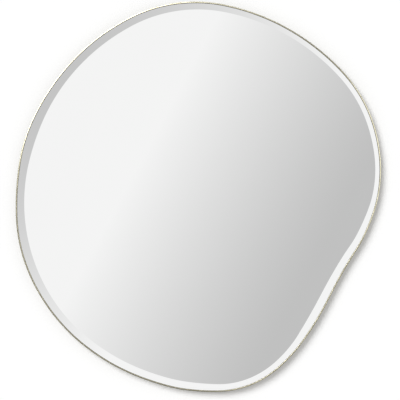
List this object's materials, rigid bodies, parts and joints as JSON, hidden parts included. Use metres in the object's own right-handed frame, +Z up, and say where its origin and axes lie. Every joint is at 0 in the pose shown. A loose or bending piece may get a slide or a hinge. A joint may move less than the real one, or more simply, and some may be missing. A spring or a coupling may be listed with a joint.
{
  "type": "wall mirror",
  "caption": "Wall mirror of free-form rounded outline with a ground facet round the glass and a thin metal rim; it hangs from keyholes in its back, upright or on its side.",
  "frame": {"origin": "centre of the bounding box of the whole mirror", "axes": "+X right and +Z up as seen by the viewer, +Y from the viewer to the wall"},
  "size_m": [0.8487, 0.0222, 0.9067],
  "materials": {
    "mirror_glass": "silvered float glass, polished, ground facet",
    "safety_film": "grey film, satin",
    "adhesive": "cured mirror adhesive, matte",
    "edge_pad": "soft black rubber",
    "rim_brass": "flat steel bar, finely brushed and plated in pale antique brass",
    "board": "medium density fibreboard, painted black",
    "screw": "zinc plated",
    "foam_tape": "white foam",
    "tab_brass": "steel sheet plated with the rim",
    "hanger_brass": "steel plate plated with the rim",
    "bumper": "moulded rubber, matte"
  },
  "bodies": {
    "root": {"mirror_glass": "mirror_glass", "safety_film": "safety_film", "adhesive_beads": "adhesive", "glass_edge_pads": "edge_pad", "rim_band": "rim_brass", "backing_board": "board", "tab_screws": "screw", "mounting_tape_1": "foam_tape", "mounting_tape_2": "foam_tape", "mounting_tape_3": "foam_tape", "mounting_tape_4": "foam_tape", "mounting_tape_5": "foam_tape", "rim_tab_1": "tab_brass", "rim_tab_2": "tab_brass", "rim_tab_3": "tab_brass", "rim_tab_4": "tab_brass", "rim_tab_5": "tab_brass", "rim_tab_6": "tab_brass", "rim_tab_7": "tab_brass", "rim_tab_8": "tab_brass", "hanger_top_left": "hanger_brass", "hanger_top_right": "hanger_brass", "hanger_side_upper": "hanger_brass", "hanger_side_lower": "hanger_brass", "wall_bumper_1": "bumper", "wall_bumper_2": "bumper", "wall_bumper_3": "bumper", "wall_bumper_4": "bumper"}
  },
  "joints": []
}
